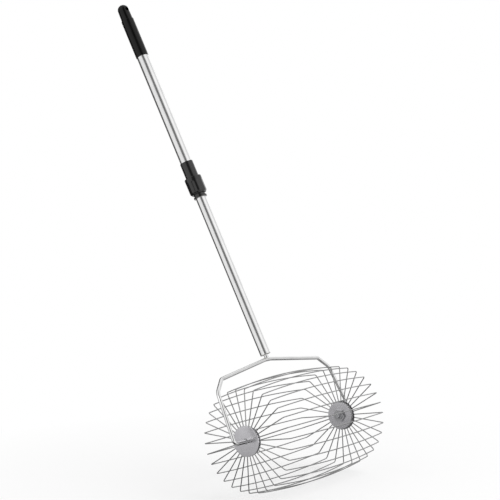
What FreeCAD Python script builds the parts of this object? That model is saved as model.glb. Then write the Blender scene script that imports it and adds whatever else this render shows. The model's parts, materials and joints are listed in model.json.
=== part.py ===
# Rolling wire-drum collector on a telescopic pole, in millimetres.
# Row frame: +Z up, +X along the drum's axle, and the pole leans towards +Y.
# The origin is the point of the ground under the middle of the axle, where the drum's lowest wire rests.
import FreeCAD, Part
import math
import os
import Sketcher

# Driving dimensions: a plain number for each, with what it measures.
SIZES = [
    # Cage of bowed wires
    ("wire_count", 30, "wires round the drum"),
    ("wire_diameter", 2.4, "spring wire of the cage"),
    ("cage_corner_radius", 118.2, "wire centre line where span and spoke would meet, from the axle"),
    ("cage_bow_rise", 10.8, "how much further out it is at mid length"),
    ("cage_half_length", 200.6, "plane of the spokes from the middle of the drum"),
    ("corner_bend_radius", 5.0, "centre line of the bend between span and spoke"),
    ("cage_turn_angle", 3.2, "degrees from straight down to the lowest wire"),
    ("hook_sweep_angle", 250.0, "degrees that a wire's end is wrapped round its ring"),
    # Hubs
    ("hook_ring_radius", 31.0, "centre line of the ring that the hooks are threaded on"),
    ("hook_ring_wire", 3.0, "diameter of that ring's wire"),
    ("hub_clearance", 0.3, "free play between pieces of the hub"),
    ("disc_overhang", 4.0, "outer disc past that ring"),
    ("inner_disc_overhang", 1.5, "inner disc past that ring"),
    ("outer_disc_thickness", 2.0, "stamped outer disc"),
    ("inner_disc_thickness", 1.5, "inner disc"),
    ("disc_edge_chamfer", 0.6, "broken edge of the outer disc's face"),
    ("boss_wall", 2.8, "threaded boss round the bush"),
    ("hub_nut_thickness", 5.0, "thin hexagon nut"),
    ("hub_nut_wall", 3.95, "its wall at the flats"),
    ("boss_overhang", 0.6, "boss past the hub nut"),
    ("bush_wall", 2.0, "plastic bush round the axle"),
    ("bush_flange_width", 2.4, "flange past the bush's barrel"),
    ("bush_flange_thickness", 1.5, "flange inside the drum"),
    ("axle_clearance", 0.05, "running clearance of the bush on the axle, radial"),
    ("seat_gap", 0.1, "static seats, radial"),
    # Fork
    ("fork_rod_diameter", 9.0, "bent rod of the fork, and the axle stubs"),
    ("fork_arm_gap", 42.2, "hub's face to the corner of arm and axle stub"),
    ("fork_elbow_set_in", 13.8, "upper end of the arm, in from that corner"),
    ("fork_shoulder_set_in", 32.3, "end of the crossbar, in from the elbow"),
    ("fork_cage_gap", 38.9, "crossbar's middle past the cage"),
    ("fork_shoulder_drop", 22.6, "end of the crossbar below its middle"),
    ("fork_elbow_drop", 27.8, "elbow below the shoulder"),
    ("fork_foot_bend", 9.0, "centre-line radii of the four kinds of bend"),
    ("fork_elbow_bend", 22.0, "arm to shoulder"),
    ("fork_shoulder_bend", 9.0, "shoulder to crossbar"),
    ("fork_apex_bend", 12.0, "middle of the crossbar"),
    ("stem_diameter", 10.5, "stem welded on the fork"),
    ("stem_exposed", 7.9, "stem between the rod and the lower tube"),
    ("stem_insertion", 32.0, "stem inside the lower tube"),
    # Axle ends
    ("axle_washer_thickness", 1.2, "washer inside the drum"),
    ("axle_washer_width", 4.2, "washer from its hole to its rim"),
    ("axle_cap_wall", 1.4, "push-on cap"),
    ("axle_cap_grip", 3.4, "length of axle that the cap covers"),
    # Pole
    ("pole_lean_angle", 27.42, "degrees from upright"),
    ("lower_tube_diameter", 25.0, "outside"),
    ("tube_wall", 1.2, "both tubes"),
    ("slide_clearance", 0.3, "lower tube inside the upper pole, radial"),
    ("lower_tube_exposed", 407.7, "lower tube's end to the collar, pulled out"),
    ("tube_overlap", 110.0, "lower tube inside the upper pole, pulled out"),
    ("stem_plug_recess", 1.5, "plug inside the lower tube's end"),
    ("guide_length", 20.0, "guide in the lower tube's top"),
    ("guide_flange", 4.0, "its flange over the tube's end"),
    ("guide_bore_share", 0.5, "its bore, as a share of the lower tube's radius"),
    ("collet_lip_length", 10.0, "clamp collet below the nut"),
    ("collet_lip_wall", 1.0, "its wall there"),
    ("collet_rim_width", 2.4, "rim round its end, past the lip's wall"),
    ("collet_rim_length", 3.6, "length of that rim"),
    ("collet_length", 27.0, "whole collet"),
    ("collet_cone_rise", 1.6, "radius that its cone gains"),
    ("collet_slit", 3.0, "slit that lets it close"),
    ("lock_nut_length", 42.7, "twist-lock nut"),
    ("lock_nut_wall", 4.7, "its lobes outside the bore over the sleeve"),
    ("lock_nut_edge", 2.2, "rounding of the nut's upper edge"),
    ("lock_nut_nose", 4.0, "length of the rounding of its lower edge"),
    ("lock_nut_nose_drop", 2.4, "radius that the nose loses"),
    ("flute_count", 8, "flutes round the nut"),
    ("flute_radius", 6.0, "flute's own radius"),
    ("flute_depth", 0.9, "flute's depth"),
    ("flute_top", 9.0, "plain band over the flutes"),
    ("sleeve_wall", 1.8, "collar sleeve over the upper tube"),
    ("sleeve_exposed", 40.2, "sleeve above the nut"),
    ("sleeve_shoulder", 8.0, "length of its narrower lower bore"),
    ("upper_tube_exposed", 285.6, "upper tube between sleeve and grip"),
    ("grip_length", 140.3, "whole grip"),
    ("grip_wall", 1.4, "grip over the upper tube"),
    ("grip_end_length", 40.4, "narrower end with the hanging hole"),
    ("grip_step_width", 1.3, "step down to that end"),
    ("grip_end_taper", 0.7, "radius that the end loses below its rounded tip"),
    ("grip_tip_flat", 0.4, "radius of the flat left at the rounded tip"),
    ("grip_edge", 0.8, "rounding of the grip's rims"),
    ("grip_plug", 6.0, "solid grip between the tube's end and the step"),
    ("hang_hole_diameter", 11.0, "hole across the end"),
    ("hang_hole_drop", 15.5, "its axis below the tip"),
    # Cuts
    ("overrun", 5.0, "how far a cut runs past what it cuts"),
]

X_AXIS = FreeCAD.Vector(1, 0, 0)
Z_AXIS = FreeCAD.Vector(0, 0, 1)
HALF_TURN = 180
WHOLE_TURN = 360

doc = FreeCAD.newDocument("roller_collector")
sheet = doc.addObject("Spreadsheet::Sheet", "size")
for row, (alias, number, meaning) in enumerate(SIZES, start=1):
    sheet.set(f"A{row}", alias)
    sheet.set(f"B{row}", str(number))
    sheet.set(f"C{row}", meaning)
    sheet.setAlias(f"B{row}", alias)
doc.recompute()

# Sizes worked out from the driving ones, as expressions of the sheet.
WIRE_RADIUS = "size.wire_diameter / 2"
CAGE_RADIUS = "size.cage_corner_radius + size.cage_bow_rise"
AXLE_HEIGHT = f"({CAGE_RADIUS}) * cos(size.cage_turn_angle) + {WIRE_RADIUS}"
HOOK_BEND = f"size.hook_ring_wire / 2 + size.hub_clearance + {WIRE_RADIUS}"
HUB_OUTER_FACE = f"size.cage_half_length + {WIRE_RADIUS} + size.hub_clearance"
HUB_INNER_FACE = f"size.cage_half_length - 2 * ({HOOK_BEND}) - {WIRE_RADIUS} - size.hub_clearance"
DISC_FACE = f"{HUB_OUTER_FACE} + size.outer_disc_thickness"
INNER_DISC_FACE = f"{HUB_INNER_FACE} - size.inner_disc_thickness"
DISC_RADIUS = "size.hook_ring_radius + size.disc_overhang"
INNER_DISC_RADIUS = "size.hook_ring_radius + size.inner_disc_overhang"
SPACER_RADIUS = f"size.hook_ring_radius - ({HOOK_BEND}) - {WIRE_RADIUS} - size.hub_clearance"
AXLE_RADIUS = "size.fork_rod_diameter / 2"
BUSH_BORE = f"{AXLE_RADIUS} + size.axle_clearance"
BUSH_RADIUS = f"{BUSH_BORE} + size.bush_wall"
BUSH_SEAT = f"{BUSH_RADIUS} + size.seat_gap"
BOSS_RADIUS = f"{BUSH_SEAT} + size.boss_wall"
BOSS_HOLE = f"{BOSS_RADIUS} + size.seat_gap"
NUT_FACE = f"{INNER_DISC_FACE} - size.hub_nut_thickness"
BOSS_END = f"{NUT_FACE} - size.boss_overhang"
BUSH_END = f"{BOSS_END} - size.bush_flange_thickness"
WASHER_FACE = f"{BUSH_END} - size.hub_clearance"
WASHER_END = f"{WASHER_FACE} - size.axle_washer_thickness"
AXLE_END = f"{WASHER_END} - size.axle_cap_grip"
CAP_END = f"{AXLE_END} - size.axle_cap_wall"

FORK_FOOT = f"{DISC_FACE} + size.fork_arm_gap"
FORK_ELBOW = f"{FORK_FOOT} - size.fork_elbow_set_in"
FORK_SHOULDER = f"{FORK_ELBOW} - size.fork_shoulder_set_in"
FORK_APEX_HEIGHT = f"{CAGE_RADIUS} + {WIRE_RADIUS} + size.fork_cage_gap + {AXLE_RADIUS}"
FORK_SHOULDER_HEIGHT = f"{FORK_APEX_HEIGHT} - size.fork_shoulder_drop"
FORK_ELBOW_HEIGHT = f"{FORK_SHOULDER_HEIGHT} - size.fork_elbow_drop"

LOWER_TUBE_RADIUS = "size.lower_tube_diameter / 2"
LOWER_TUBE_BORE = f"{LOWER_TUBE_RADIUS} - size.tube_wall"
UPPER_BORE = f"{LOWER_TUBE_RADIUS} + size.slide_clearance"
UPPER_TUBE_RADIUS = f"{UPPER_BORE} + size.tube_wall"
LOWER_TUBE_START = f"{FORK_APEX_HEIGHT} + {AXLE_RADIUS} + size.stem_exposed"
COLLAR_START = f"{LOWER_TUBE_START} + size.lower_tube_exposed"
LOWER_TUBE_END = f"{COLLAR_START} + size.tube_overlap"
STEM_END = f"{LOWER_TUBE_START} + size.stem_insertion"
NUT_START = f"{COLLAR_START} + size.collet_lip_length"
NUT_END = f"{NUT_START} + size.lock_nut_length"
COLLET_END = f"{COLLAR_START} + size.collet_length"
SLEEVE_START = f"{COLLET_END} + size.slide_clearance"
UPPER_TUBE_START = f"{SLEEVE_START} + size.sleeve_shoulder"
SLEEVE_END = f"{NUT_END} + size.sleeve_exposed"
UPPER_SEAT = f"{UPPER_TUBE_RADIUS} + size.seat_gap"
SLEEVE_RADIUS = f"{UPPER_TUBE_RADIUS} + size.sleeve_wall"
LIP_RADIUS = f"{UPPER_BORE} + size.collet_lip_wall"
RIM_RADIUS = f"{LIP_RADIUS} + size.collet_rim_width"
RIM_END = f"{COLLAR_START} + size.collet_rim_length"
NUT_BORE = f"{SLEEVE_RADIUS} + size.slide_clearance"
NUT_RADIUS = f"{NUT_BORE} + size.lock_nut_wall"
GRIP_START = f"{SLEEVE_END} + size.upper_tube_exposed"
GRIP_TIP = f"{GRIP_START} + size.grip_length"
GRIP_STEP = f"{GRIP_TIP} - size.grip_end_length"
UPPER_TUBE_END = f"{GRIP_STEP} - size.grip_plug"
GRIP_RADIUS = f"{UPPER_TUBE_RADIUS} + size.grip_wall"
GRIP_END_RADIUS = f"{GRIP_RADIUS} - size.grip_step_width"
GRIP_TIP_RADIUS = f"{GRIP_END_RADIUS} - size.grip_end_taper"


def value(expression):
    """The number that an expression of the sheet's sizes gives."""
    return float(sheet.evalExpression(expression))


def new_body(label):
    """An empty body with its label."""
    body = doc.addObject("PartDesign::Body", label)
    body.Label = label
    return body


def origin_plane(body, role):
    """One of a body's own origin planes, found by its role."""
    for feature in body.Origin.OriginFeatures:
        if feature.Role == role:
            return feature
    raise ValueError(role)


def new_sketch(body, name, role):
    """A sketch on one of the body's origin planes."""
    sketch = body.newObject("Sketcher::SketchObject", name)
    sketch.AttachmentSupport = [(origin_plane(body, role), "")]
    sketch.MapMode = "FlatFace"
    return sketch


def constrain(sketch, kind, references, expression):
    """Add a constraint whose size follows an expression of the sheet."""
    index = sketch.addConstraint(Sketcher.Constraint(kind, *references, value(expression)))
    sketch.setExpression(f"Constraints[{index}]", expression)


def hold(sketch, geometry, end, across, up):
    """Hold a point of a sketch at its two distances from the sketch's origin."""
    if across == "0":
        sketch.addConstraint(Sketcher.Constraint("PointOnObject", geometry, end, -2))
    else:
        constrain(sketch, "DistanceX", (-1, 1, geometry, end), across)
    if up == "0":
        sketch.addConstraint(Sketcher.Constraint("PointOnObject", geometry, end, -1))
    else:
        constrain(sketch, "DistanceY", (-1, 1, geometry, end), up)


def tangent_reach(before, corner, after, bend):
    """Where a bend of the given radius leaves the two lines that meet at a corner, and its middle."""
    into = before.sub(corner).normalize()
    out = after.sub(corner).normalize()
    half_angle = into.getAngle(out) / 2
    reach = bend / math.tan(half_angle)
    middle = into.add(out).normalize()
    middle = middle * (bend / math.sin(half_angle) - bend)
    return corner + into * reach, corner + middle, corner + out * reach


def chain(sketch, corners, closed=True):
    """Straight lines through held corners; a corner with a third entry is rounded to that radius."""
    points = [FreeCAD.Vector(value(corner[0]), value(corner[1]), 0) for corner in corners]
    total = len(corners)
    starts = list(points)
    ends = list(points)
    arcs = {}
    for index, corner in enumerate(corners):
        if len(corner) == 3:
            before = points[index - 1]
            after = points[(index + 1) % total]
            first, middle, last = tangent_reach(before, points[index], after, value(corner[2]))
            ends[index] = first
            starts[index] = last
            arcs[index] = Part.Arc(first, middle, last)
    count = total if closed else total - 1
    lines = []
    for index in range(count):
        segment = Part.LineSegment(starts[index], ends[(index + 1) % total])
        lines.append(sketch.addGeometry(segment, False))
    for index, corner in enumerate(corners):
        incoming = lines[index - 1] if closed or index > 0 else None
        outgoing = lines[index] if index < count else None
        if index in arcs:
            round_bend(sketch, arcs[index], points[index], corner, incoming, outgoing)
            continue
        if outgoing is not None:
            hold(sketch, outgoing, 1, corner[0], corner[1])
        else:
            hold(sketch, incoming, 2, corner[0], corner[1])
        if incoming is not None and outgoing is not None:
            sketch.addConstraint(Sketcher.Constraint("Coincident", incoming, 2, outgoing, 1))


def round_bend(sketch, arc, point, corner, incoming, outgoing):
    """One rounded corner: a held construction point on both lines, and an arc tangent to them."""
    mark = sketch.addGeometry(Part.Point(point), True)
    hold(sketch, mark, 1, corner[0], corner[1])
    sketch.addConstraint(Sketcher.Constraint("PointOnObject", mark, 1, incoming))
    sketch.addConstraint(Sketcher.Constraint("PointOnObject", mark, 1, outgoing))
    bend = sketch.addGeometry(arc, False)
    from_line = point_nearest(sketch, bend, sketch.getPoint(incoming, 2))
    to_line = 3 - from_line
    sketch.addConstraint(Sketcher.Constraint("Tangent", incoming, 2, bend, from_line))
    sketch.addConstraint(Sketcher.Constraint("Tangent", outgoing, 1, bend, to_line))
    constrain(sketch, "Radius", (bend,), corner[2])


def point_nearest(sketch, geometry, point):
    """The end of an arc, 1 or 2, that lies at a point."""
    first = sketch.getPoint(geometry, 1)
    last = sketch.getPoint(geometry, 2)
    return 1 if (first - point).Length < (last - point).Length else 2


def circle(sketch, across, up, radius):
    """A held circle."""
    centre = FreeCAD.Vector(value(across), value(up), 0)
    index = sketch.addGeometry(Part.Circle(centre, FreeCAD.Vector(0, 0, 1), value(radius)), False)
    hold(sketch, index, 3, across, up)
    constrain(sketch, "Radius", (index,), radius)


def revolve(body, sketch, axis):
    """Turn an outline fully round the sketch's horizontal or vertical axis."""
    solid = body.newObject("PartDesign::Revolution", sketch.Name + "_turned")
    solid.Profile = sketch
    solid.ReferenceAxis = (sketch, [axis])
    solid.Angle = WHOLE_TURN
    return solid


def turned(label, axis, corners):
    """A body turned from one outline in its XZ plane."""
    body = new_body(label)
    sketch = new_sketch(body, label + "_outline", "XZ_Plane")
    chain(sketch, corners)
    revolve(body, sketch, axis)
    return body


def cut(body, name, sketch, length):
    """Cut an outline out of a body, as far to each side of its plane."""
    pocket = body.newObject("PartDesign::Pocket", name)
    pocket.Profile = sketch
    pocket.Midplane = True
    pocket.Length = value(length)
    pocket.setExpression("Length", length)
    return pocket


def copy_of(master, label):
    """A body that repeats another body's form, with a label and a placement of its own."""
    body = doc.addObject("PartDesign::Body", label)
    body.Label = label
    form = doc.addObject("PartDesign::FeatureBase", label + "_form")
    form.BaseFeature = master
    body.Group = [form]
    body.Tip = form
    return body


def place(body, axis, angle, height):
    """Turn a body about an axis through its own origin and lift it to a height."""
    body.Placement = FreeCAD.Placement(FreeCAD.Vector(), FreeCAD.Rotation(axis, value(angle)))
    body.setExpression("Placement.Rotation.Angle", angle)
    body.setExpression("Placement.Base.z", height)


def place_on_pole(body):
    """The pole's pieces are drawn upright over the axle, then leaned."""
    lean = FreeCAD.Rotation(-X_AXIS, value("size.pole_lean_angle"))
    body.Placement = FreeCAD.Placement(FreeCAD.Vector(), lean)
    body.setExpression("Placement.Rotation.Angle", "size.pole_lean_angle")
    body.setExpression("Placement.Base.z", AXLE_HEIGHT)


def both_sides(master, part_name):
    """The right-hand body is the drawn one; its copy is turned half round for the left."""
    master.Label = "right_" + part_name
    place(master, Z_AXIS, "0", AXLE_HEIGHT)
    left = copy_of(master, "left_" + part_name)
    place(left, Z_AXIS, str(HALF_TURN), AXLE_HEIGHT)
    return [master, left]


def swept_half(body, path, plane_up, radius):
    """Sweep a round section along a half path that starts over the origin, and mirror it."""
    section = new_sketch(body, body.Name + "_section", "YZ_Plane")
    circle(section, "0", plane_up, radius)
    pipe = body.newObject("PartDesign::AdditivePipe", body.Name + "_half")
    pipe.Profile = section
    pipe.Spine = (path, [f"Edge{index + 1}" for index in range(len(path.Shape.Edges))])
    whole = body.newObject("PartDesign::Mirrored", body.Name + "_whole")
    whole.Originals = [pipe]
    whole.MirrorPlane = (origin_plane(body, "YZ_Plane"), [""])
    body.Tip = whole


def wire_path(body):
    """Half of a wire: bowed span from the middle, corner bend, spoke, and the hook round the ring."""
    sketch = new_sketch(body, "wire_path", "XZ_Plane")
    half_length = value("size.cage_half_length")
    middle = value(CAGE_RADIUS)
    rise = value("size.cage_bow_rise")
    bow = (half_length ** 2 + rise ** 2) / (2 * rise)
    bow_centre = FreeCAD.Vector(0, middle - bow, 0)
    bend = value("size.corner_bend_radius")
    bend_across = half_length - bend
    bend_up = bow_centre.y + math.sqrt((bow - bend) ** 2 - bend_across ** 2)
    bend_centre = FreeCAD.Vector(bend_across, bend_up, 0)
    bow_angle = math.atan2(bend_up - bow_centre.y, bend_across)
    hook = value(HOOK_BEND)
    ring = value("size.hook_ring_radius")
    hook_centre = FreeCAD.Vector(half_length - hook, ring, 0)
    sweep = math.radians(value("size.hook_sweep_angle"))
    normal = FreeCAD.Vector(0, 0, 1)
    span = sketch.addGeometry(
        Part.ArcOfCircle(Part.Circle(bow_centre, normal, bow), bow_angle, math.pi / 2), False)
    corner = sketch.addGeometry(
        Part.ArcOfCircle(Part.Circle(bend_centre, normal, bend), 0, bow_angle), False)
    spoke_start = FreeCAD.Vector(half_length, bend_up, 0)
    spoke_end = FreeCAD.Vector(half_length, ring, 0)
    spoke = sketch.addGeometry(Part.LineSegment(spoke_start, spoke_end), False)
    wrap = sketch.addGeometry(
        Part.ArcOfCircle(Part.Circle(hook_centre, normal, hook), -sweep, 0), False)
    mark = sketch.addGeometry(
        Part.Point(FreeCAD.Vector(half_length, value("size.cage_corner_radius"), 0)), True)
    hold(sketch, span, 2, "0", CAGE_RADIUS)
    sketch.addConstraint(Sketcher.Constraint("PointOnObject", span, 3, -2))
    hold(sketch, mark, 1, "size.cage_half_length", "size.cage_corner_radius")
    sketch.addConstraint(Sketcher.Constraint("PointOnObject", mark, 1, span))
    sketch.addConstraint(Sketcher.Constraint("Tangent", span, 1, corner, 2))
    constrain(sketch, "Radius", (corner,), "size.corner_bend_radius")
    sketch.addConstraint(Sketcher.Constraint("Tangent", corner, 1, spoke, 1))
    sketch.addConstraint(Sketcher.Constraint("PointOnObject", mark, 1, spoke))
    hold(sketch, spoke, 2, "size.cage_half_length", "size.hook_ring_radius")
    sketch.addConstraint(Sketcher.Constraint("Tangent", spoke, 2, wrap, 2))
    constrain(sketch, "Radius", (wrap,), HOOK_BEND)
    constrain(sketch, "Angle", (wrap,), "size.hook_sweep_angle")
    return sketch


def cage_wires():
    """One wire drawn upright, and its copies turned round the axle."""
    master = new_body("cage_wire_01")
    path = wire_path(master)
    doc.recompute()
    swept_half(master, path, CAGE_RADIUS, WIRE_RADIUS)
    wires = [master]
    for index in range(1, int(value("size.wire_count"))):
        wires.append(copy_of(master, f"cage_wire_{index + 1:02d}"))
    for index, wire in enumerate(wires):
        angle = f"{HALF_TURN} - size.cage_turn_angle + {index} * {WHOLE_TURN} / size.wire_count"
        place(wire, X_AXIS, angle, AXLE_HEIGHT)
    return wires


def hubs():
    """The hub pieces of both ends."""
    outer_disc = turned("right_outer_disc", "H_Axis", [
        (BOSS_END, BUSH_SEAT),
        (DISC_FACE, BUSH_SEAT),
        (DISC_FACE, f"{DISC_RADIUS} - size.disc_edge_chamfer"),
        (f"{DISC_FACE} - size.disc_edge_chamfer", DISC_RADIUS),
        (HUB_OUTER_FACE, DISC_RADIUS),
        (HUB_OUTER_FACE, BOSS_RADIUS),
        (BOSS_END, BOSS_RADIUS),
    ])
    spacer = turned("right_hub_spacer", "H_Axis", [
        (HUB_INNER_FACE, BOSS_HOLE),
        (HUB_OUTER_FACE, BOSS_HOLE),
        (HUB_OUTER_FACE, SPACER_RADIUS),
        (HUB_INNER_FACE, SPACER_RADIUS),
    ])
    inner_disc = turned("right_inner_disc", "H_Axis", [
        (INNER_DISC_FACE, BOSS_HOLE),
        (HUB_INNER_FACE, BOSS_HOLE),
        (HUB_INNER_FACE, INNER_DISC_RADIUS),
        (INNER_DISC_FACE, INNER_DISC_RADIUS),
    ])
    bush = turned("right_axle_bush", "H_Axis", [
        (BUSH_END, BUSH_BORE),
        (DISC_FACE, BUSH_BORE),
        (DISC_FACE, BUSH_RADIUS),
        (f"{BUSH_END} + size.bush_flange_thickness", BUSH_RADIUS),
        (f"{BUSH_END} + size.bush_flange_thickness", f"{BUSH_RADIUS} + size.bush_flange_width"),
        (BUSH_END, f"{BUSH_RADIUS} + size.bush_flange_width"),
    ])
    pieces = []
    pieces += both_sides(outer_disc, "outer_disc")
    pieces += both_sides(spacer, "hub_spacer")
    pieces += both_sides(inner_disc, "inner_disc")
    pieces += both_sides(hub_nut(), "hub_nut")
    pieces += both_sides(hook_ring(), "hook_ring")
    pieces += both_sides(bush, "axle_bush")
    return pieces


def hub_nut():
    """Hexagon nut on the boss, clamping the inner disc."""
    body = new_body("right_hub_nut")
    sketch = new_sketch(body, "nut_outline", "YZ_Plane")
    sides = 6
    corner = f"({BOSS_HOLE} + size.hub_nut_wall) / cos({HALF_TURN} / {sides})"
    radius = value(corner)
    corners = []
    for index in range(sides):
        angle = math.radians(index * WHOLE_TURN / sides)
        corners.append(FreeCAD.Vector(radius * math.cos(angle), radius * math.sin(angle), 0))
    lines = []
    for index in range(sides):
        segment = Part.LineSegment(corners[index], corners[(index + 1) % sides])
        lines.append(sketch.addGeometry(segment, False))
    guide = sketch.addGeometry(Part.Circle(FreeCAD.Vector(), FreeCAD.Vector(0, 0, 1), radius), True)
    sketch.addConstraint(Sketcher.Constraint("Coincident", guide, 3, -1, 1))
    for index in range(sides):
        after = lines[(index + 1) % sides]
        sketch.addConstraint(Sketcher.Constraint("Coincident", lines[index], 2, after, 1))
        sketch.addConstraint(Sketcher.Constraint("PointOnObject", lines[index], 2, guide))
        if index > 0:
            sketch.addConstraint(Sketcher.Constraint("Equal", lines[0], lines[index]))
    sketch.addConstraint(Sketcher.Constraint("PointOnObject", lines[0], 1, -1))
    constrain(sketch, "Radius", (guide,), corner)
    circle(sketch, "0", "0", BOSS_HOLE)
    pad = body.newObject("PartDesign::Pad", "nut_pad")
    pad.Profile = sketch
    pad.Length = value("size.hub_nut_thickness")
    pad.setExpression("Length", "size.hub_nut_thickness")
    sketch.AttachmentOffset = FreeCAD.Placement(FreeCAD.Vector(0, 0, value(NUT_FACE)), FreeCAD.Rotation())
    sketch.setExpression("AttachmentOffset.Base.z", NUT_FACE)
    return body


def hook_ring():
    """Ring through all the wire hooks of one end."""
    body = new_body("right_hook_ring")
    sketch = new_sketch(body, "ring_section", "XZ_Plane")
    across = f"size.cage_half_length - ({HOOK_BEND})"
    circle(sketch, across, "size.hook_ring_radius", "size.hook_ring_wire / 2")
    revolve(body, sketch, "H_Axis")
    return body


def fork():
    """Bent rod of the fork: crossbar, shoulders, arms, and the axle stubs turned inwards."""
    body = new_body("fork_frame")
    path = new_sketch(body, "fork_path", "XZ_Plane")
    chain(path, [
        ("0", FORK_APEX_HEIGHT),
        ("size.fork_apex_bend", FORK_APEX_HEIGHT, "size.fork_apex_bend"),
        (FORK_SHOULDER, FORK_SHOULDER_HEIGHT, "size.fork_shoulder_bend"),
        (FORK_ELBOW, FORK_ELBOW_HEIGHT, "size.fork_elbow_bend"),
        (FORK_FOOT, "0", "size.fork_foot_bend"),
        (AXLE_END, "0"),
    ], closed=False)
    doc.recompute()
    swept_half(body, path, FORK_APEX_HEIGHT, AXLE_RADIUS)
    return body


def fork_stem():
    """Stem with a saddle cut to the crossbar, where it is welded."""
    body = turned("fork_stem", "V_Axis", [
        ("0", FORK_APEX_HEIGHT),
        ("size.stem_diameter / 2", FORK_APEX_HEIGHT),
        ("size.stem_diameter / 2", STEM_END),
        ("0", STEM_END),
    ])
    saddle = new_sketch(body, "stem_saddle", "YZ_Plane")
    circle(saddle, "0", FORK_APEX_HEIGHT, f"{AXLE_RADIUS} + size.seat_gap")
    cut(body, "stem_saddle_cut", saddle, "size.stem_diameter + 2 * size.overrun")
    return body


def axle_ends():
    """Washer and push-on cap at the inner end of each axle stub."""
    washer = turned("right_axle_washer", "H_Axis", [
        (WASHER_END, f"{AXLE_RADIUS} + size.seat_gap"),
        (WASHER_FACE, f"{AXLE_RADIUS} + size.seat_gap"),
        (WASHER_FACE, f"{AXLE_RADIUS} + size.seat_gap + size.axle_washer_width"),
        (WASHER_END, f"{AXLE_RADIUS} + size.seat_gap + size.axle_washer_width"),
    ])
    cap = turned("right_axle_cap", "H_Axis", [
        (CAP_END, "0"),
        (f"{AXLE_END} - size.seat_gap", "0"),
        (f"{AXLE_END} - size.seat_gap", f"{AXLE_RADIUS} + size.seat_gap"),
        (WASHER_END, f"{AXLE_RADIUS} + size.seat_gap"),
        (WASHER_END, f"{AXLE_RADIUS} + size.seat_gap + size.axle_cap_wall"),
        (CAP_END, f"{AXLE_RADIUS} + size.seat_gap + size.axle_cap_wall", "size.axle_cap_wall"),
    ])
    return both_sides(washer, "axle_washer") + both_sides(cap, "axle_cap")


def lower_pole():
    """Plug round the stem, lower tube, and the guide in the tube's top."""
    plug = turned("stem_plug", "V_Axis", [
        ("size.stem_diameter / 2 + size.seat_gap", f"{LOWER_TUBE_START} + size.stem_plug_recess"),
        (f"{LOWER_TUBE_BORE} - size.seat_gap", f"{LOWER_TUBE_START} + size.stem_plug_recess"),
        (f"{LOWER_TUBE_BORE} - size.seat_gap", STEM_END),
        ("size.stem_diameter / 2 + size.seat_gap", STEM_END),
    ])
    tube = turned("lower_tube", "V_Axis", [
        (LOWER_TUBE_BORE, LOWER_TUBE_START),
        (LOWER_TUBE_RADIUS, LOWER_TUBE_START),
        (LOWER_TUBE_RADIUS, LOWER_TUBE_END),
        (LOWER_TUBE_BORE, LOWER_TUBE_END),
    ])
    guide_bore = f"{LOWER_TUBE_RADIUS} * size.guide_bore_share"
    guide = turned("lower_tube_guide", "V_Axis", [
        (guide_bore, f"{LOWER_TUBE_END} - size.guide_length"),
        (f"{LOWER_TUBE_BORE} - size.seat_gap", f"{LOWER_TUBE_END} - size.guide_length"),
        (f"{LOWER_TUBE_BORE} - size.seat_gap", LOWER_TUBE_END),
        (LOWER_TUBE_RADIUS, LOWER_TUBE_END),
        (LOWER_TUBE_RADIUS, f"{LOWER_TUBE_END} + size.guide_flange"),
        (guide_bore, f"{LOWER_TUBE_END} + size.guide_flange"),
    ])
    return [plug, tube, guide]


def clamp_collet():
    """Split cone that the lock nut closes on the lower tube, with a rimmed lip below the nut."""
    body = turned("clamp_collet", "V_Axis", [
        (UPPER_BORE, COLLAR_START),
        (RIM_RADIUS, COLLAR_START),
        (RIM_RADIUS, RIM_END),
        (LIP_RADIUS, RIM_END),
        (LIP_RADIUS, NUT_START),
        (f"{LIP_RADIUS} + size.collet_cone_rise", COLLET_END),
        (UPPER_BORE, COLLET_END),
    ])
    slit = new_sketch(body, "collet_slit_outline", "YZ_Plane")
    low = f"{COLLAR_START} - size.overrun"
    high = f"{COLLET_END} + size.overrun"
    reach = f"{RIM_RADIUS} + size.overrun"
    chain(slit, [("0", low), (reach, low), (reach, high), ("0", high)])
    cut(body, "collet_slit_cut", slit, "size.collet_slit")
    return body


def lock_nut():
    """Fluted twist-lock nut over the sleeve's end and the collet."""
    clear = "size.slide_clearance"
    body = turned("lock_nut", "V_Axis", [
        (f"{LIP_RADIUS} + {clear}", NUT_START),
        (f"{NUT_RADIUS} - size.lock_nut_nose_drop", NUT_START),
        (NUT_RADIUS, f"{NUT_START} + size.lock_nut_nose"),
        (NUT_RADIUS, f"{NUT_END} - size.lock_nut_edge"),
        (f"{NUT_RADIUS} - size.lock_nut_edge", NUT_END),
        (NUT_BORE, NUT_END),
        (NUT_BORE, SLEEVE_START),
        (f"{LIP_RADIUS} + size.collet_cone_rise + {clear}", SLEEVE_START),
        (f"{LIP_RADIUS} + size.collet_cone_rise + {clear}", COLLET_END),
    ])
    flute = new_sketch(body, "flute_outline", "XY_Plane")
    centre = f"{NUT_RADIUS} + size.flute_radius - size.flute_depth"
    circle(flute, centre, "0", "size.flute_radius")
    base = f"{NUT_START} - size.overrun"
    flute.AttachmentOffset = FreeCAD.Placement(FreeCAD.Vector(0, 0, value(base)), FreeCAD.Rotation())
    flute.setExpression("AttachmentOffset.Base.z", base)
    doc.recompute()
    pocket = body.newObject("PartDesign::Pocket", "flute_cut")
    pocket.Profile = flute
    pocket.Reversed = True
    height = "size.overrun + size.lock_nut_length - size.flute_top"
    pocket.Length = value(height)
    pocket.setExpression("Length", height)
    pattern = body.newObject("PartDesign::PolarPattern", "flutes")
    pattern.Originals = [pocket]
    pattern.Axis = (flute, ["N_Axis"])
    pattern.Angle = WHOLE_TURN
    pattern.Occurrences = int(value("size.flute_count"))
    pattern.setExpression("Occurrences", "size.flute_count")
    body.Tip = pattern
    return body


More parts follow.
